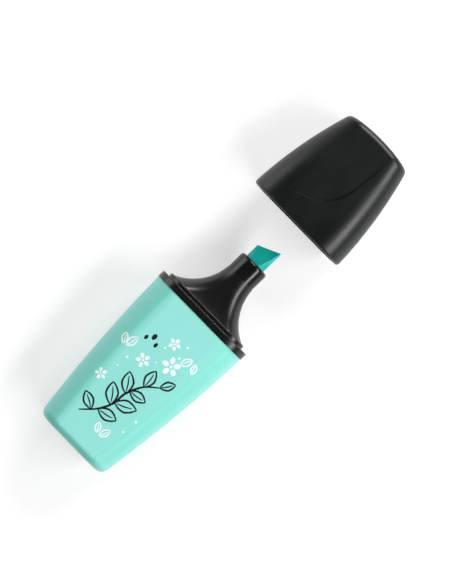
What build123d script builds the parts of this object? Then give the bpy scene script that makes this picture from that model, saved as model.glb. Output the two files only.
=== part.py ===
"""A short, flat pocket highlighter with its cap pulled off along the pen's own axis.

The pen lies on its back.  +X runs along the pen axis from the tail to the nib and on to the cap,
+Y runs across the width and +Z points up, out of the front face.  The origin is on the table,
under the middle of the pen and cap together.  All sizes are in millimetres.
"""

import os
from math import sqrt

from build123d import *

# --- Barrel: a one-piece blind shell, widest and thickest at its mouth -------------------------
barrel_length = 43.2
mouth_width = 28.0
mouth_thickness = 15.0
tail_width = 20.8
tail_thickness = 12.6
side_bow = 0.66  # how far the narrow sides bulge beyond a straight taper
side_flat = 1.0  # flat strip left between the two rounded corners of a narrow side
tail_round = 2.1
barrel_wall = 1.2
tail_wall = 1.5
lead_in = 0.3  # chamfer inside the barrel's mouth
rib_thickness = 1.0
gate_radius = 1.4  # dimple that sinks the moulding gate below the tail face
gate_depth = 0.3
gate_stub_radius = 0.45

# --- Front section: collar, spigot for the cap, concave neck and the plug in the barrel --------
collar_thickness = 1.8
collar_proud = 0.15  # how far the collar stands out beyond the barrel
spigot_height = 1.0
shoulder = 0.5  # ledge between the spigot and the foot of the neck
neck_length = 11.9  # from the cap's seat to the seam with the nib holder
neck_arc_radius = 13.0
neck_arc_end = 12.8  # from the cap's seat to where the neck's arc runs parallel to the axis
neck_wall = 1.2
plug_depth = 6.0
plug_wall = 1.2
plug_clearance = 0.05
edge_round = 0.25

# --- Nib holder and nib -------------------------------------------------------------------------
holder_radius = 4.05
holder_length = 4.9
holder_round = 0.75
holder_tube_wall = 0.45
holder_tube_length = 15.0
holder_tube_clearance = 0.02
seam_step = 0.06  # the neck is this much fatter than the holder at the seam
seam_flat = 0.04  # flat strip that is left in the neck's round end, where it meets the holder
neck_foot_flat = 0.54  # flat strip on the narrow sides of the neck's foot
nib_width = 5.6
nib_thickness = 4.0
nib_reach = 6.1  # how far the nib's long corner stands out of the holder
nib_slant = 24.5  # degrees between the writing edge and a square-cut end
nib_edge_thickness = 1.7
nib_facet_angle = 13.0  # degrees between each chisel facet and the pen axis
nib_clearance = 0.05
vent_width = 0.8
vent_depth = 0.35
nib_in_reservoir = 8.0
nib_tail_taper = 2.5

# --- Ink reservoir and its film -----------------------------------------------------------------
reservoir_width = 17.0
reservoir_plug_gap = 0.55
film_wall = 0.2
film_clearance = 0.02
reservoir_support_gap = 0.1
reservoir_tail_gap = 1.5
reservoir_front_gap = 2.0

# --- Cap and its sealing liner ------------------------------------------------------------------
cap_end_width = 18.6
cap_end_thickness = 11.4
cap_side_bow = 0.97
cap_face_bow = 0.35
cap_crown_radius = 48.0
cap_end_gap = 2.1  # from the liner's end to the inside of the cap's end
cap_end_round = 1.7
cap_corner_zone = 1.2  # length of the cap that holds the edges round its crowned end
cap_rim_round = 0.8
cap_wall = 1.6
cap_end_wall = 1.5
cap_spigot_gap = 0.2
cap_travel = 30.4  # how far the cap is pulled off its seat
web_thickness = 1.2
scoop_depth = 0.65
scoop_turn_radius = 11.0
scoop_draft = 28.0  # degrees between the scoop's edge wall and the normal to the face
scoop_cover = 0.5  # how far the cutter starts above the face
scoop_cutter_depth = 1.95  # how far it reaches below the face, before its floor is trimmed

liner_clearance = 0.05
liner_wall = 0.9
liner_start = 0.5  # from the seam to the liner's mouth, with the cap on
liner_nib_gap = 0.55
liner_end_gap = 1.3
liner_rim_height = 0.8
liner_rim_width = 0.25
liner_fit_gap = 0.05

# --- Stations: distances from the tail, along the pen axis --------------------------------------
mouth = barrel_length
seat = mouth + collar_thickness
spigot_top = seat + spigot_height
seam = seat + neck_length
holder_top = seam + holder_length
nib_tip = holder_top + nib_reach
plug_end = mouth - plug_depth
cap_rim = seat + cap_travel
liner_mouth = cap_rim + neck_length + liner_start
liner_step = liner_mouth + holder_length
liner_floor = cap_rim + neck_length + holder_length + nib_reach + liner_end_gap
liner_end = liner_floor + liner_wall
cap_end = liner_end + cap_end_gap + cap_end_wall
cap_length = cap_end - cap_rim

collar_width = mouth_width + 2 * collar_proud
collar_height = mouth_thickness + 2 * collar_proud
axis_height = collar_height / 2
tail_x = -cap_end / 2

SECTIONS = 7  # cross-sections in each loft
NECK_SECTIONS = 11


def station(distance):
    """The plane square to the pen axis at a distance from the tail, with its X axis across the pen."""
    return Plane(origin=(tail_x + distance, 0, axis_height), x_dir=(0, 1, 0), z_dir=(1, 0, 0))


def lengthwise(height=0.0):
    """The plane along the pen, with its origin at the tail, at a height above the pen axis."""
    return Plane(origin=(tail_x, 0, axis_height + height), x_dir=(1, 0, 0), z_dir=(0, 0, 1))


def bowed(start, end, share, bow):
    """A size that runs from start to end and bulges by bow halfway, as a flat arc does."""
    return start + (end - start) * share + 4 * bow * share * (1 - share)


def full_round(width, height, flat=side_flat):
    """Width, height and corner radius of a flat section with almost fully rounded narrow sides."""
    return width, height, (min(width, height) - flat) / 2


def steps(start, end, count=SECTIONS):
    """Evenly spaced stations from start to end, both included."""
    return [start + (end - start) * i / (count - 1) for i in range(count)]


# --- Outer forms, as sizes at a station ----------------------------------------------------------
def barrel_section(distance, inset=0.0):
    """The barrel's section at a distance from the tail, drawn in by inset."""
    share = 1 - distance / barrel_length
    width = bowed(mouth_width, tail_width, share, 2 * side_bow) - 2 * inset
    height = bowed(mouth_thickness, tail_thickness, share, 0) - 2 * inset
    return full_round(width, height)


def cap_section(distance, inset=0.0):
    """The cap's section at a distance from its rim, drawn in by inset."""
    share = distance / cap_length
    width = bowed(collar_width, cap_end_width, share, 2 * cap_side_bow) - 2 * inset
    height = bowed(collar_height, cap_end_thickness, share, 2 * cap_face_bow) - 2 * inset
    return full_round(width, height)


spigot_inset = cap_wall + cap_spigot_gap
spigot_width = collar_width - 2 * spigot_inset
spigot_thickness = collar_height - 2 * spigot_inset
neck_end_radius = holder_radius + seam_step


def neck_spread(height):
    """How far the neck's arc stands out beyond the holder at a height above the cap's seat."""
    run = max(neck_arc_end - height, 0)
    return neck_arc_radius - sqrt(neck_arc_radius**2 - run**2)


def neck_section(distance, inset=0.0):
    """The neck's section at a distance from the tail: a flat oval at its foot, a circle at the seam."""
    share = (neck_spread(distance - seat) - neck_spread(neck_length)) / (
        neck_spread(spigot_height) - neck_spread(neck_length)
    )
    foot_half = spigot_thickness / 2 - shoulder
    half_width = neck_end_radius + neck_spread(distance - seat) - neck_spread(neck_length)
    half_height = neck_end_radius + (foot_half - neck_end_radius) * share
    flat = seam_flat + (neck_foot_flat - seam_flat) * share
    return full_round(2 * (half_width - inset), 2 * (half_height - inset), flat)


# --- Ink reservoir: an extruded bundle of fibre, with a socket where the nib is pushed in --------
plug_inset = barrel_wall + plug_clearance
reservoir_thickness = mouth_thickness - 2 * (plug_inset + plug_wall + reservoir_plug_gap)
reservoir_start = tail_wall + reservoir_tail_gap
reservoir_end = mouth - reservoir_front_gap
nib_start = reservoir_end - nib_in_reservoir
nib_radii = (nib_width / 2, nib_thickness / 2)
nib_point_radii = (nib_width / 4, nib_thickness / 4)

with BuildPart() as ink_reservoir:
    with BuildSketch(station(reservoir_start)):
        RectangleRounded(*full_round(reservoir_width, reservoir_thickness))
    extrude(amount=reservoir_end - reservoir_start)
    with BuildSketch(station(nib_start)):
        Ellipse(*nib_point_radii)
    with BuildSketch(station(nib_start + nib_tail_taper)):
        Ellipse(*nib_radii)
    loft(mode=Mode.SUBTRACT)
    with BuildSketch(station(nib_start + nib_tail_taper)):
        Ellipse(*nib_radii)
    extrude(amount=reservoir_end - nib_start, mode=Mode.SUBTRACT)
ink_reservoir.part.label = "ink_reservoir"

# --- Reservoir film: a thin clear wrap round the fibre, open at both ends ------------------------
film_inside = (reservoir_width + 2 * film_clearance, reservoir_thickness + 2 * film_clearance)
film_outside = (film_inside[0] + 2 * film_wall, film_inside[1] + 2 * film_wall)

with BuildPart() as reservoir_film:
    with BuildSketch(station(reservoir_start)):
        RectangleRounded(*full_round(*film_outside))
        RectangleRounded(*full_round(*film_inside), mode=Mode.SUBTRACT)
    extrude(amount=reservoir_end - reservoir_start)
reservoir_film.part.label = "reservoir_film"

# --- Barrel ---------------------------------------------------------------------------------------
# The loft is drawn a hair too thick and then trimmed to a wedge, so that the front and back faces
# are true planes.
trim = 0.01

with BuildPart() as barrel_form:
    for distance in steps(0, barrel_length):
        width, height, _ = barrel_section(distance)
        with BuildSketch(station(distance)):
            RectangleRounded(*full_round(width, height + 2 * trim))
    loft()
    with BuildSketch(Plane(origin=(tail_x, 0, axis_height), x_dir=(1, 0, 0), z_dir=(0, -1, 0))):
        with BuildLine():
            Polyline(
                (0, tail_thickness / 2),
                (barrel_length, mouth_thickness / 2),
                (barrel_length, -mouth_thickness / 2),
                (0, -tail_thickness / 2),
                close=True,
            )
        make_face()
    extrude(amount=mouth_width, both=True, mode=Mode.INTERSECT)
    fillet(barrel_form.faces().sort_by(Axis.X)[0].edges(), radius=tail_round)

# Ribs stand inwards from the walls and centre the wrapped reservoir. They stop short of the plug.
rib_end = plug_end - rib_thickness
rib_offset = reservoir_width / 4

with BuildPart() as barrel_ribs:
    with BuildSketch(station(tail_wall / 2)):
        Rectangle(mouth_width, rib_thickness)
        with Locations((-rib_offset, 0), (rib_offset, 0)):
            Rectangle(rib_thickness, mouth_thickness)
    extrude(amount=rib_end - tail_wall / 2)
    add(barrel_form.part, mode=Mode.INTERSECT)
    with BuildSketch(station(reservoir_start)):
        RectangleRounded(*full_round(*[size + 2 * reservoir_support_gap for size in film_outside]))
    extrude(amount=barrel_length, mode=Mode.SUBTRACT)

with BuildPart() as barrel:
    add(barrel_form.part)
    for distance in steps(tail_wall, barrel_length):
        with BuildSketch(station(distance)):
            RectangleRounded(*barrel_section(distance, barrel_wall))
    loft(mode=Mode.SUBTRACT)
    add(barrel_ribs.part)
    with BuildSketch(station(0)):
        Circle(gate_radius)
    extrude(amount=gate_depth, mode=Mode.SUBTRACT)
    with BuildSketch(station(0)):
        Circle(gate_stub_radius)
    extrude(amount=gate_depth)
barrel.part.label = "barrel"

# --- Front section ----------------------------------------------------------------------------------
holder_tube_radius = nib_width / 2 + nib_clearance + holder_tube_wall

with BuildPart() as front_section:
    # plug that is pushed into the barrel's mouth, tapering with the barrel
    for distance in (plug_end, mouth):
        with BuildSketch(station(distance)):
            RectangleRounded(*barrel_section(distance, plug_inset))
    loft()
    chamfer(front_section.faces().sort_by(Axis.X)[0].edges(), length=lead_in)
    with BuildSketch(station(mouth)):
        RectangleRounded(*full_round(collar_width, collar_height))
    extrude(amount=collar_thickness)
    fillet(
        front_section.faces().filter_by(Axis.X).sort_by(Axis.X)[-1].outer_wire().edges(),
        radius=edge_round,
    )
    with BuildSketch(station(seat)):
        RectangleRounded(*full_round(spigot_width, spigot_thickness))
    extrude(amount=spigot_height)
    fillet(
        front_section.faces().filter_by(Axis.X).sort_by(Axis.X)[-1].outer_wire().edges(),
        radius=edge_round,
    )
    for distance in steps(spigot_top, seam, NECK_SECTIONS):
        with BuildSketch(station(distance)):
            RectangleRounded(*neck_section(distance))
    loft()
    # hollow of the plug, which holds the front of the reservoir
    for distance in (plug_end, mouth):
        with BuildSketch(station(distance)):
            RectangleRounded(*barrel_section(distance, plug_inset + plug_wall))
    loft(mode=Mode.SUBTRACT)
    # hollow of the collar and neck
    with BuildSketch(station(mouth)):
        RectangleRounded(*neck_section(spigot_top, neck_wall))
    extrude(amount=spigot_top - mouth, mode=Mode.SUBTRACT)
    for distance in steps(spigot_top, (spigot_top + seam) / 2):
        with BuildSketch(station(distance)):
            RectangleRounded(*neck_section(distance, neck_wall))
    loft(mode=Mode.SUBTRACT)
    # throat for the nib holder's tube
    with BuildSketch(station(mouth)):
        Circle(holder_tube_radius + holder_tube_clearance)
    extrude(amount=seam - mouth, mode=Mode.SUBTRACT)
front_section.part.label = "front_section"

# --- Nib holder: a glossy ferrule with a long tube behind it ---------------------------------------
bore_radii = (nib_radii[0] + nib_clearance, nib_radii[1] + nib_clearance)

with BuildPart() as nib_holder:
    with BuildSketch(station(seam)):
        Circle(holder_radius)
    extrude(amount=holder_length)
    fillet(nib_holder.faces().sort_by(Axis.X)[-1].edges(), radius=holder_round)
    with BuildSketch(station(seam - holder_tube_length)):
        Circle(holder_tube_radius)
    extrude(amount=holder_tube_length)
    chamfer(nib_holder.faces().sort_by(Axis.X)[0].edges(), length=lead_in)
    with BuildSketch(station(seam - holder_tube_length)):
        Ellipse(*bore_radii)
        with Locations((0, bore_radii[1]), (0, -bore_radii[1])):
            Rectangle(vent_width, 2 * vent_depth)
    extrude(amount=holder_tube_length + holder_length, mode=Mode.SUBTRACT)
nib_holder.part.label = "nib_holder"

# --- Nib: an oval fibre rod, cut to a slanted chisel at the front and tapered at the back -----------
# The slant plane holds the writing edge; each facet plane leaves it towards the pen's tail.
nib_corner = (tail_x + nib_tip, -nib_width / 2, axis_height)
slant_normal = Vector(1, 0, 0).rotate(Axis.Z, nib_slant)
slant_plane = Plane(origin=nib_corner, x_dir=(0, 0, 1), z_dir=slant_normal)


def facet_plane(side):
    """The plane of the front facet (side 1) or back facet (side -1), facing out of the nib."""
    edge = slant_plane.origin + Vector(0, 0, side * nib_edge_thickness / 2)
    along = slant_plane.y_dir
    out = Vector(0, 0, side).rotate(Axis((0, 0, 0), along), -side * nib_facet_angle)
    return Plane(origin=edge, x_dir=along, z_dir=out)


with BuildPart() as nib:
    with BuildSketch(station(nib_start)):
        Ellipse(*nib_point_radii)
    with BuildSketch(station(nib_start + nib_tail_taper)):
        Ellipse(*nib_radii)
    loft()
    with BuildSketch(station(nib_start + nib_tail_taper)):
        Ellipse(*nib_radii)
    extrude(amount=nib_tip - nib_start)
    split(bisect_by=slant_plane, keep=Keep.BOTTOM)
    for side in (1, -1):
        split(bisect_by=facet_plane(side), keep=Keep.BOTTOM)
nib.part.label = "nib"

# --- Cap ----------------------------------------------------------------------------------------------
liner_bore_radius = holder_radius + liner_clearance
liner_radius = liner_bore_radius + liner_wall
liner_nib_radius = nib_width / 2 + liner_nib_gap
liner_tip_radius = liner_nib_radius + liner_wall


def on_cap_face(distance, across, depth):
    """A point at a distance from the rim, a way across and a depth below the cap's front face."""
    return Vector(
        tail_x + cap_rim + distance,
        across,
        axis_height + cap_section(distance)[1] / 2 - depth,
    )


# The scoop's edge starts near the rim, turns along the cap and fades out near the end.
scoop_start = (0.143 * cap_length, 0.283 * collar_width)
scoop_turn = (0.30 * cap_length, -0.14 * collar_width)
scoop_finish = (0.906 * cap_length, -0.187 * collar_width)
scoop_low = (0.366 * cap_length, -0.106 * collar_width)

start = on_cap_face(*scoop_start, 0)
finish = on_cap_face(*scoop_finish, 0)
low = on_cap_face(*scoop_low, scoop_depth)
floor_normal = (start - finish).cross(low - finish)
face_at_rim = on_cap_face(0, 0, 0)
face_slope = on_cap_face(cap_length, 0, 0) - face_at_rim
face_plane = Plane(origin=face_at_rim, x_dir=face_slope, z_dir=face_slope.cross(Vector(0, 1, 0)))

with BuildPart() as scoop_cutter:
    with BuildSketch(face_plane.offset(scoop_cover)):
        with BuildLine():
            edge = FilletPolyline(scoop_start, scoop_turn, scoop_finish, radius=scoop_turn_radius)
            Polyline(
                edge @ 1,
                (scoop_finish[0], collar_width / 2),
                (scoop_start[0], collar_width / 2),
                edge @ 0,
            )
        make_face()
    extrude(amount=-scoop_cover - scoop_cutter_depth, taper=scoop_draft)
    split(bisect_by=Plane(origin=start, z_dir=floor_normal), keep=Keep.TOP)

# Webs run in from both narrow sides and hold the liner between them.
with BuildPart() as cap_webs:
    with BuildSketch(station(liner_mouth + liner_rim_height + liner_fit_gap)):
        Rectangle(collar_width, web_thickness)
    extrude(amount=cap_end - liner_mouth - cap_end_wall)
    for distance in steps(0, cap_length - cap_end_wall / 2):
        with BuildSketch(station(cap_rim + distance)):
            RectangleRounded(*cap_section(distance, cap_wall / 2))
    loft(mode=Mode.INTERSECT)

with BuildPart() as cap:
    for distance in steps(0, cap_length):
        with BuildSketch(station(cap_rim + distance)):
            RectangleRounded(*cap_section(distance))
    loft()
    crown_centre = cap_end - cap_crown_radius
    with BuildSketch(lengthwise()):
        with Locations((crown_centre, 0)):
            Circle(cap_crown_radius)
    extrude(amount=collar_height, both=True, mode=Mode.INTERSECT)
    crown_start = tail_x + cap_end - cap_corner_zone
    fillet(
        cap.edges().filter_by_position(Axis.X, crown_start, tail_x + cap_end),
        radius=cap_end_round,
    )
    fillet(cap.faces().sort_by(Axis.X)[0].edges(), radius=cap_rim_round)
    add(scoop_cutter.part, mode=Mode.SUBTRACT)
    add(scoop_cutter.part.rotate(Axis((0, 0, axis_height), (1, 0, 0)), 180), mode=Mode.SUBTRACT)
    for distance in steps(0, cap_length - cap_end_wall):
        with BuildSketch(station(cap_rim + distance)):
            RectangleRounded(*cap_section(distance, cap_wall))
    loft(mode=Mode.SUBTRACT)
    add(cap_webs.part)
    # pocket that the liner is pushed into, as far as its rim
    pocket_start = liner_mouth + liner_rim_height + liner_fit_gap
    with BuildSketch(station(cap_rim)):
        Circle(liner_radius + liner_rim_width + liner_fit_gap)
    extrude(amount=pocket_start - cap_rim, mode=Mode.SUBTRACT)
    with BuildSketch(station(pocket_start)):
        Circle(liner_radius + liner_fit_gap)
    extrude(amount=liner_step + liner_wall + liner_fit_gap - pocket_start, mode=Mode.SUBTRACT)
    with BuildSketch(station(pocket_start)):
        Circle(liner_tip_radius + liner_fit_gap)
    extrude(amount=liner_end + liner_fit_gap - pocket_start, mode=Mode.SUBTRACT)
cap.part.label = "cap"

# --- Liner: a soft inner cap that seals round the nib holder ------------------------------------------
with BuildPart() as inner_cap:
    with BuildSketch(station(liner_mouth)):
        Circle(liner_radius + liner_rim_width)
    extrude(amount=liner_rim_height)
    with BuildSketch(station(liner_mouth)):
        Circle(liner_radius)
    extrude(amount=liner_step + liner_wall - liner_mouth)
    with BuildSketch(station(liner_mouth)):
        Circle(liner_tip_radius)
    extrude(amount=liner_end - liner_mouth)
    with BuildSketch(station(liner_mouth)):
        Circle(liner_bore_radius)
    extrude(amount=liner_step - liner_mouth, mode=Mode.SUBTRACT)
    with BuildSketch(station(liner_mouth)):
        Circle(liner_nib_radius)
    extrude(amount=liner_floor - liner_mouth, mode=Mode.SUBTRACT)
inner_cap.part.label = "inner_cap"

os.makedirs("parts", exist_ok=True)
for piece in (
    barrel,
    front_section,
    nib_holder,
    nib,
    ink_reservoir,
    reservoir_film,
    cap,
    inner_cap,
):
    export_step(piece.part, f"parts/{piece.part.label}.step")
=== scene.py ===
"""Looks of a short, flat pocket highlighter with its cap pulled off, in metres."""

import math
import random

import bpy
from mathutils import Matrix, Vector
from mathutils.bvhtree import BVHTree


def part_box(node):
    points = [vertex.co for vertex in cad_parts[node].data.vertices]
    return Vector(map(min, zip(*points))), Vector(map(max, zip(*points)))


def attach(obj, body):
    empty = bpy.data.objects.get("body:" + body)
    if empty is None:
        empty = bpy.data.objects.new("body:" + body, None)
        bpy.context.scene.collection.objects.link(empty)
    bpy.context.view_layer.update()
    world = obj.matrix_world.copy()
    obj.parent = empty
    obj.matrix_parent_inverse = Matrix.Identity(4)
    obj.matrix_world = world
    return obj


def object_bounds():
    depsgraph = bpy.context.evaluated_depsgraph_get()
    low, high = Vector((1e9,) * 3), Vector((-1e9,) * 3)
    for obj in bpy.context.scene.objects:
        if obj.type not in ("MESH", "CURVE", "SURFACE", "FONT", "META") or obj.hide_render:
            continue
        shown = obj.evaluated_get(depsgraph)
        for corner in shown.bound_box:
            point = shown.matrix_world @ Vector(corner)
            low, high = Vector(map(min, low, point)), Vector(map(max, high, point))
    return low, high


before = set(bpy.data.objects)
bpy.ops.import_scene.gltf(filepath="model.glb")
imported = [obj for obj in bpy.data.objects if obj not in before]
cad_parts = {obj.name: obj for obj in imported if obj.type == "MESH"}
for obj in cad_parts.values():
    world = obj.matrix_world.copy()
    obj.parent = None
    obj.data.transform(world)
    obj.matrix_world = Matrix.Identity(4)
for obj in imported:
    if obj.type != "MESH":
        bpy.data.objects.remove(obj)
cad_box = [list(corner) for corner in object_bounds()]


# --- Barrel ---------------------------------------------------------------------------------------
# A blind shell injection-moulded in pale mint plastic.  Its tool was lightly spark-eroded, so the
# skin is satin, a little cloudy and very finely pitted.
MM = 0.001


class Wire:
    """An output of a material node.  Sums of wires and numbers add the Math nodes they need."""

    def __init__(self, tree, socket=None):
        self.tree = tree
        self.socket = socket

    def node(self, kind, settings=None, output=0, **sockets):
        """Adds a node: its settings first, then a value or a wire for each socket that is named.

        _0 is a node's first socket, _1 its second, and so on."""
        made = self.tree.nodes.new("ShaderNode" + kind)
        for name, value in (settings or {}).items():
            setattr(made, name, value)
        for name, value in sockets.items():
            socket = made.inputs[int(name[1:]) if name[0] == "_" else name.replace("_", " ")]
            if isinstance(value, Wire):
                self.tree.links.new(value.socket, socket)
            else:
                socket.default_value = value
        return Wire(self.tree, made.outputs[output])

    def math(self, operation, first, second=0.0):
        return self.node("Math", {"operation": operation}, _0=first, _1=second)

    def __add__(self, other):
        return self.math("ADD", self, other)

    __radd__ = __add__

    def __mul__(self, other):
        return self.math("MULTIPLY", self, other)

    __rmul__ = __mul__

    def __sub__(self, other):
        return self.math("SUBTRACT", self, other)

    def __rsub__(self, other):
        return self.math("SUBTRACT", other, self)

    def between(self, low, high):
        """0 below low, 1 above high and a straight run in between."""
        return self.node("MapRange", {"clamp": True}, Value=self, From_Min=low, From_Max=high)

    def blend(self, first, second):
        """The first colour where this is 0 and the second where it is 1."""
        return self.node("Mix", {"data_type": "RGBA"}, 2, _0=self, _6=first, _7=second)

    def place(self, stretch=(1, 1, 1)):
        """Where a point lies on the piece, in metres, stretched along each axis."""
        spot = self.node("TexCoord", output=3)
        return self.node("VectorMath", {"operation": "MULTIPLY"}, _0=spot, _1=stretch)

    def cloud(self, size, detail=2.0, stretch=(1, 1, 1)):
        """Soft noise from 0 to 1 with features of that size in metres."""
        spot = self.place(stretch)
        return self.node("TexNoise", None, 0, Vector=spot, Scale=1 / size, Detail=detail)


def finish_of(name):
    """A new material, the wire that adds its nodes, and its shader."""
    made = bpy.data.materials.new(name)
    made.use_nodes = True
    tree = made.node_tree
    return made, Wire(tree), tree.nodes["Principled BSDF"]


def feed(shader, **sockets):
    """Sets the shader's sockets to numbers and colours, or links wires to them."""
    for name, value in sockets.items():
        socket = shader.inputs[name.replace("_", " ")]
        if isinstance(value, Wire):
            value.tree.links.new(value.socket, socket)
        else:
            socket.default_value = value


def shade(*levels):
    """An opaque colour from 8-bit display levels."""
    linear = [(v / 255 / 12.92) if v < 10 else ((v / 255 + 0.055) / 1.055) ** 2.4 for v in levels]
    return (*linear, 1.0)


def moulded(name, dark, light, gloss, pit_depth, pit_size, painted_turn_shade=None, index=1.5):
    """Injection-moulded plastic: cloudy colour, uneven gloss, and pits of a given size and depth.

    gloss is the roughness, and index the index of refraction.  The colour given for the turn is
    painted shade: a darker, deeper tone laid where a wide face turns into a narrow side."""
    made, wire, shader = finish_of(name)
    drift = wire.cloud(9 * MM, 3.0)
    specks = wire.cloud(0.35 * MM, 1.0)
    pits = wire.cloud(pit_size, 2.0)
    swirl = wire.cloud(4 * MM, 2.0, (0.35, 1, 1))
    colour = (drift * 0.75 + specks * 0.25).between(0.3, 0.7).blend(dark, light)
    # Painted shade: a darker band where the wide face turns into the narrow side, picked out by how
    # far the normal tilts.
    if painted_turn_shade:
        facing = wire.node("SeparateXYZ", output=2, Vector=wire.node("TexCoord", output=1))
        facing = facing.math("ABSOLUTE", facing)
        turn_shade_mask = (1 - facing.between(0.93, 0.995)) * facing.between(0.45, 0.9)
        colour = turn_shade_mask.blend(colour, painted_turn_shade)
    feed(
        shader,
        Base_Color=colour,
        Roughness=gloss + swirl.between(0.35, 0.75) * 0.07 + pits * 0.05 - 0.06,
        IOR=index,
        Normal=wire.node("Bump", Strength=1.0, Distance=pit_depth, Height=pits + drift * 0.5),
    )
    return made


def dress(name, material):
    """Gives a piece of the frame its material."""
    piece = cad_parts[name]
    piece.data.materials.clear()
    piece.data.materials.append(material)
    return piece


mint_plastic = moulded(
    "mint_plastic",
    dark=shade(142, 219, 210),
    light=shade(147, 223, 215),
    gloss=0.42,
    pit_depth=0.006 * MM,
    pit_size=0.22 * MM,
    # painted shade for the band where the wide face turns into the narrow side
    painted_turn_shade=shade(118, 209, 195),
    index=1.4,
)
barrel = dress("barrel", mint_plastic)


# --- Print ----------------------------------------------------------------------------------------
# Two screen-printed inks on the barrel's front: a leafy sprig and seeds in black, then blossoms,
# small leaves and specks in white.  Each is a film of ink that follows the barrel's skin.
barrel_low, barrel_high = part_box("barrel")
skin = BVHTree.FromObject(barrel, bpy.context.evaluated_depsgraph_get())
INK_ABOVE = 0.02 * MM
INK_BELOW = 0.03 * MM
RAY_START = 1 * MM  # above the barrel's highest point
CURVE_STEPS = 14  # short straight runs between two points of a drawn line
DOT_CORNERS = 20


def on_skin(along, across):
    """The point and the outward normal of the front face, in mm from the tail and to the right."""
    above = Vector((barrel_low.x + along * MM, -across * MM, barrel_high.z + RAY_START))
    point, normal, _, _ = skin.ray_cast(above, Vector((0, 0, -1)))
    return point, normal


def curve_through(points):
    """A smooth line through points, which keeps its direction at each of them."""
    ends = [points[0], *points, points[-1]]
    line = []
    for before, start, end, after in zip(ends, ends[1:], ends[2:], ends[3:]):
        for i in range(CURVE_STEPS):
            t = i / CURVE_STEPS
            line.append(
                tuple(
                    0.5
                    * (
                        2 * b
                        + (c - a) * t
                        + (2 * a - 5 * b + 4 * c - d) * t * t
                        + (3 * b - a - 3 * c + d) * t**3
                    )
                    for a, b, c, d in zip(before, start, end, after)
                )
            )
    return [*line, points[-1]]


class Ink:
    """One printed colour: closed ribbons and dots of ink on the barrel, with sizes in mm."""

    def __init__(self):
        self.points = []
        self.faces = []

    def ring(self, along, across, run, width):
        """Four corners of a line's section, where run is the way that the line goes."""
        length = math.hypot(*run) or 1
        side = (-run[1] / length, run[0] / length)
        left = on_skin(along + side[0] * width / 2, across + side[1] * width / 2)
        right = on_skin(along - side[0] * width / 2, across - side[1] * width / 2)
        for (point, normal), rise in (
            (left, INK_ABOVE),
            (right, INK_ABOVE),
            (right, -INK_BELOW),
            (left, -INK_BELOW),
        ):
            self.points.append(point + normal * rise)

    def line(self, points, width, tip=0.35):
        """A pen stroke through points: full width in its middle, tip times that at its ends."""
        path = curve_through(points)
        first = len(self.points)
        for i, (along, across) in enumerate(path):
            before = path[max(i - 1, 0)]
            after = path[min(i + 1, len(path) - 1)]
            swell = tip + (1 - tip) * math.sin(math.pi * i / (len(path) - 1)) ** 0.6
            self.ring(along, across, (after[0] - before[0], after[1] - before[1]), width * swell)
        for i in range(len(path) - 1):
            a = first + 4 * i
            for k in range(4):
                j = (k + 1) % 4
                self.faces.append((a + k, a + 4 + k, a + 4 + j, a + j))
        last = first + 4 * (len(path) - 1)
        self.faces.append((first, first + 1, first + 2, first + 3))
        self.faces.append((last + 3, last + 2, last + 1, last))

    def dot(self, along, across, radius, stretch=1.0, turn=0.0):
        """A round blob, or an oval one that is stretched along its turn."""
        first = len(self.points)
        ring = []
        for k in range(DOT_CORNERS):
            angle = 2 * math.pi * k / DOT_CORNERS
            u, v = radius * stretch * math.cos(angle), radius * math.sin(angle)
            cos, sin = math.cos(turn), math.sin(turn)
            ring.append(on_skin(along + u * cos - v * sin, across + u * sin + v * cos))
        for rise in (INK_ABOVE, -INK_BELOW):
            self.points += [point + normal * rise for point, normal in ring]
        under = first + DOT_CORNERS
        self.faces.append(tuple(first + k for k in range(DOT_CORNERS)))
        self.faces.append(tuple(under + k for k in reversed(range(DOT_CORNERS))))
        for k in range(DOT_CORNERS):
            j = (k + 1) % DOT_CORNERS
            self.faces.append((first + k, under + k, under + j, first + j))

    def leaf(self, along, across, heading, length, plump, width):
        """A leaf drawn as two bowed edges and a rib, from its stalk in the way it points."""
        cos, sin = math.cos(math.radians(heading)), math.sin(math.radians(heading))

        def spot(u, v):
            return along + u * cos - v * sin, across + u * sin + v * cos

        for side in (1, -1):
            edge = [(0, 0), (0.22, 0.62), (0.5, 0.95), (0.78, 0.62), (1, 0)]
            self.line([spot(u * length, side * v * plump) for u, v in edge], width, 0.5)
        rib = [(0.1, 0), (0.45, 0.1), (0.8, 0)]
        self.line([spot(u * length, v * plump) for u, v in rib], width * 0.7)

    def piece(self, name, material, slot):
        """Makes the ink one piece that rides on the pen."""
        mesh = bpy.data.meshes.new(name)
        mesh.from_pydata(self.points, [], self.faces)
        mesh.materials.append(material)
        made = bpy.data.objects.new(name, mesh)
        bpy.context.scene.collection.objects.link(made)
        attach(made, "pen")


def ink_of(name, dark, light, gloss):
    """Screen-printed ink: a little uneven in tone and gloss, with the mesh's fine weave in it."""
    made, wire, shader = finish_of(name)
    patches = wire.cloud(1.2 * MM, 3.0)
    weave = wire.cloud(0.08 * MM, 1.0)
    feed(
        shader,
        Base_Color=patches.between(0.3, 0.7).blend(dark, light),
        Roughness=gloss + patches * 0.15,
        Normal=wire.node("Bump", Strength=1.0, Distance=0.004 * MM, Height=weave),
    )
    return made


LINE = 0.46
STEM_LINE = LINE * 1.25
SMALL_LINE = LINE * 0.8
LEAF_PLUMP = 0.27  # a leaf's half width, as a share of its length
SEED_STRETCH = 1.5

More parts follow.
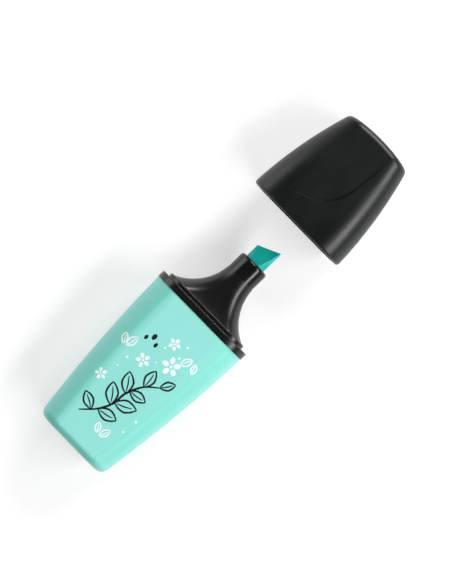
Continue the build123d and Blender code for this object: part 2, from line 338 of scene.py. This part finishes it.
black = Ink()
stem = [(7.4, -4.6), (10.6, -1.6), (14.2, 0.2), (18.0, 0.6), (22.0, 2.4), (24.8, 5.4)]
black.line(stem, STEM_LINE)
for along, across, heading, length in (
    (9.6, -2.5, -62, 4.6),
    (10.8, -1.4, 78, 5.2),
    (13.6, 0.0, -38, 5.6),
    (14.6, 0.3, 64, 5.6),
    (18.0, 0.6, -34, 5.4),
    (19.2, 0.9, 82, 4.6),
    (22.2, 2.6, -8, 4.8),
    (24.8, 5.4, 34, 3.8),
):
    black.leaf(along, across, heading, length, length * LEAF_PLUMP, LINE)
for along, across, radius in ((31.0, -5.6, 0.42), (32.4, -4.2, 0.55), (31.2, -2.6, 0.42)):
    black.dot(along, across, radius, SEED_STRETCH)
black_ink = ink_of("black_ink", dark=shade(10, 11, 12), light=shade(18, 19, 20), gloss=0.35)
black.piece("print_black", black_ink, "front_plastic")

PETALS = 5
PETAL_RADIUS = 0.42  # this and the eye's radius are shares of the blossom's size
PETAL_STRETCH = 1.35
EYE_RADIUS = 0.24

white = Ink()
random.seed(4)
for along, across, size in (
    (30.2, 3.6, 1.5),
    (26.6, -2.2, 1.15),
    (34.6, 0.4, 1.0),
    (17.2, -7.0, 0.95),
):
    turn = random.uniform(0, math.pi)
    for k in range(PETALS):
        angle = turn + 2 * math.pi * k / PETALS
        white.dot(
            along + size * math.cos(angle),
            across + size * math.sin(angle),
            size * PETAL_RADIUS,
            PETAL_STRETCH,
            angle,
        )
    white.dot(along, across, size * EYE_RADIUS)
for along, across, heading, length in (
    (35.0, 6.2, 205, 3.2),
    (34.8, 7.4, 158, 2.6),
    (26.2, -7.6, 12, 3.4),
    (26.0, -8.4, -28, 2.8),
    (6.4, 3.4, 20, 3.0),
    (6.6, 2.4, -30, 2.6),
):
    white.leaf(along, across, heading, length, length * LEAF_PLUMP, SMALL_LINE)
for along, across in (
    (28.4, 0.4),
    (32.4, -0.6),
    (24.4, -5.4),
    (33.0, 3.6),
    (36.2, 3.2),
    (21.4, -5.6),
    (15.0, 7.2),
    (11.2, 6.8),
):
    white.dot(along, across, random.uniform(0.2, 0.34))
white_ink = ink_of("white_ink", dark=shade(226, 240, 240), light=shade(240, 248, 248), gloss=0.4)
white.piece("print_white", white_ink, "liner_plastic")


# --- Front section --------------------------------------------------------------------------------
# One moulding in black plastic: the collar that the cap shuts on, its spigot and the concave neck,
# with a plug behind it that is pushed into the barrel.  It is glossier than the barrel.
front_black = moulded(
    "front_black",
    dark=shade(12, 13, 13),
    light=shade(16, 17, 17),
    gloss=0.30,
    pit_depth=0.002 * MM,
    pit_size=0.3 * MM,
    index=1.45,
)
dress("front_section", front_black)


# --- Nib holder -----------------------------------------------------------------------------------
# A separate ferrule in black plastic, pressed into the neck from the front.  It is the glossiest
# piece, with fine turning marks left from its polished tool.
holder_black, wire, shader = finish_of("holder_black")
rings = wire.cloud(0.12 * MM, 1.0, (1, 0.02, 0.02))
smudge = wire.cloud(2.5 * MM, 3.0)
feed(
    shader,
    Base_Color=smudge.between(0.3, 0.7).blend(shade(12, 13, 13), shade(18, 20, 20)),
    Roughness=0.12 + smudge * 0.12,
    IOR=1.4,
    Normal=wire.node("Bump", Strength=1.0, Distance=0.001 * MM, Height=rings),
)
dress("nib_holder", holder_black)


# --- Nib ------------------------------------------------------------------------------------------
# A rod of bonded fibres that run along the pen, soaked in mint ink and cut to a chisel.  The cut
# facets are painted darker and the round skin lighter: partly wet cut fibre ends, partly painted
# shade on the facets and painted light on the skin from the side lamp.  The fibres show as fine
# streaks.  It is pushed through the holder.
ink_fibre, wire, shader = finish_of("ink_fibre")
streaks = wire.cloud(0.09 * MM, 3.0, (0.08, 1, 1))
ends = wire.cloud(0.07 * MM, 2.0)
wet = wire.cloud(1.6 * MM, 3.0)
fibre_height = streaks * 0.7 + ends * 0.5
tone = (streaks * 0.5 + wet * 0.5).between(0.32, 0.68)
slope = wire.node("SeparateXYZ", output=0, Vector=wire.node("TexCoord", output=1))
cut = slope.between(0.05, 0.15)
# Painted light on the round skin and painted shade on the cut facets, over the darker wet fibre ends.
lit_skin_paint = tone.blend(shade(24, 164, 154), shade(78, 196, 187))
shaded_facet_paint = tone.blend(shade(0, 140, 129), shade(0, 156, 145))
feed(
    shader,
    Base_Color=cut.blend(lit_skin_paint, shaded_facet_paint),
    Roughness=0.5 + streaks * 0.3,
    Specular_IOR_Level=0.15,
    Normal=wire.node("Bump", Strength=1.0, Distance=0.02 * MM, Height=fibre_height),
)
dress("nib", ink_fibre)


# --- Ink reservoir and its film -------------------------------------------------------------------
# A bundle of soft fibre soaked in ink, wrapped in a thin clear film so that it slides into the
# barrel without shedding.
soaked_fibre, wire, shader = finish_of("soaked_fibre")
strands = wire.cloud(0.2 * MM, 3.0, (0.05, 1, 1))
pools = wire.cloud(5 * MM, 3.0)
feed(
    shader,
    Base_Color=(strands * 0.6 + pools * 0.4).between(0.3, 0.7).blend(
        shade(40, 168, 154), shade(96, 208, 194)
    ),
    Roughness=0.7 + strands * 0.2,
    Normal=wire.node("Bump", Strength=1.0, Distance=0.05 * MM, Height=strands),
)
dress("ink_reservoir", soaked_fibre)

clear_film, wire, shader = finish_of("clear_film")
wrinkle = wire.cloud(1.5 * MM, 3.0, (0.3, 1, 1))
feed(
    shader,
    Base_Color=wrinkle.between(0.3, 0.7).blend(shade(214, 236, 232), shade(232, 244, 242)),
    Roughness=0.12 + wrinkle * 0.1,
    Alpha=0.3,
    Normal=wire.node("Bump", Strength=1.0, Distance=0.02 * MM, Height=wrinkle),
)
dress("reservoir_film", clear_film)


# --- Cap ------------------------------------------------------------------------------------------
# A blind shell injection-moulded in black plastic, with a swept scoop in each wide face.  It slides
# over the spigot up to the collar.  Its skin is satin, a shade softer than the neck's.
cap_black = moulded(
    "cap_black",
    dark=shade(7, 11, 10),
    light=shade(12, 16, 15),
    gloss=0.38,
    pit_depth=0.003 * MM,
    pit_size=0.25 * MM,
    index=1.45,
)
dress("cap", cap_black)


# --- Inner cap ------------------------------------------------------------------------------------
# A soft liner in undyed plastic, pushed up inside the cap, that seals round the nib holder.
liner_plastic = moulded(
    "liner_plastic",
    dark=shade(196, 202, 196),
    light=shade(212, 216, 210),
    gloss=0.48,
    pit_depth=0.004 * MM,
    pit_size=0.3 * MM,
)
dress("inner_cap", liner_plastic)


# --- Floor, lights and camera -----------------------------------------------------------------------
# A white table under a long strip light on the side of the nib's long corner, with weaker lights
# opposite and beyond the cap.  The sky overhead is dim, so that flat black faces stay black.
floor_size = 3.0
floor_mesh = bpy.data.meshes.new("floor")
half = floor_size / 2
floor_level = cad_box[0][2]
floor_mesh.from_pydata(
    [(x, y, floor_level) for x, y in ((-half, -half), (half, -half), (half, half), (-half, half))],
    [],
    [(0, 1, 2, 3)],
)
floor = bpy.data.objects.new("floor", floor_mesh)
bpy.context.scene.collection.objects.link(floor)

floor_white, wire, shader = finish_of("floor_white")
paper = wire.cloud(20 * MM, 3.0)
feed(
    shader,
    Base_Color=paper.between(0.3, 0.7).blend(shade(194, 194, 194), shade(198, 198, 198)),
    Roughness=0.9,
    Specular_IOR_Level=0.1,
)
CAMERA_RAY, GLOSSY_RAY, TRANSMISSION_RAY = 0, 3, 6  # outputs of the Light Path node
seen = wire.node("LightPath", output=CAMERA_RAY)
seen = seen.math("MAXIMUM", seen, wire.node("LightPath", output=GLOSSY_RAY))
seen = seen.math("MAXIMUM", seen, wire.node("LightPath", output=TRANSMISSION_RAY))
matte = Wire(wire.tree, shader.outputs[0])
own_light = wire.node("Emission", Color=(1, 1, 1, 1), Strength=0.5)
lifted = wire.node("AddShader", _0=matte, _1=own_light)
surface = wire.node("MixShader", _0=seen, _1=matte, _2=lifted)
output = next(n for n in wire.tree.nodes if n.type == "OUTPUT_MATERIAL")
wire.tree.links.new(surface.socket, output.inputs["Surface"])
floor_mesh.materials.append(floor_white)

centre = Vector((0, 0, (cad_box[0][2] + cad_box[1][2]) / 2))


def softbox(name, direction, width, height, power, distance=0.6):
    """A light that faces the object from a direction; its width is level."""
    data = bpy.data.lights.new(name, "AREA")
    data.shape = "RECTANGLE"
    data.size = width
    data.size_y = height
    data.energy = power
    lamp = bpy.data.objects.new(name, data)
    place = centre + Vector(direction).normalized() * distance
    lamp.matrix_world = Matrix.Translation(place) @ (
        (place - centre).to_track_quat("Z", "Y").to_matrix().to_4x4()
    )
    bpy.context.scene.collection.objects.link(lamp)


def from_above(tilt, heading):
    """The direction that is tilt degrees off straight up, towards a heading round from +X."""
    tilt = math.radians(tilt)
    heading = math.radians(heading)
    return (
        math.sin(tilt) * math.cos(heading),
        math.sin(tilt) * math.sin(heading),
        math.cos(tilt),
    )


softbox("key_light", from_above(52, -80), width=0.80, height=0.17, power=4.3)
softbox("fill_light", from_above(74, 92), width=0.34, height=0.34, power=1.1)
softbox("cap_light", from_above(62, 8), width=0.34, height=0.24, power=2.9)
softbox("tail_light", from_above(50, 150), width=0.50, height=0.50, power=0.5)

world = bpy.data.worlds.new("studio")
bpy.context.scene.world = world
world.use_nodes = True
sky = Wire(world.node_tree)
up = sky.node("SeparateXYZ", output=2, Vector=sky.node("TexCoord", output=0))
horizon = (0.16, 0.16, 0.16, 1)
zenith = (0.07, 0.07, 0.07, 1)
glow = up.between(0.05, 0.75).blend(horizon, zenith)
background = world.node_tree.nodes["Background"]
world.node_tree.links.new(glow.socket, background.inputs["Color"])

bpy.context.scene.view_settings.view_transform = "Standard"

view_height = 140.2 * MM
view_turn = -44.3  # degrees; it puts the pen on the picture's diagonal
camera_distance = 0.9
camera_data = bpy.data.cameras.new("camera")
camera_data.sensor_fit = "VERTICAL"
camera_data.lens = camera_data.sensor_height * camera_distance / view_height
camera = bpy.data.objects.new("camera", camera_data)
camera.location = centre + Vector((0, 0, camera_distance))
camera.rotation_euler = (0, 0, math.radians(view_turn))
bpy.context.scene.collection.objects.link(camera)
bpy.context.scene.camera = camera
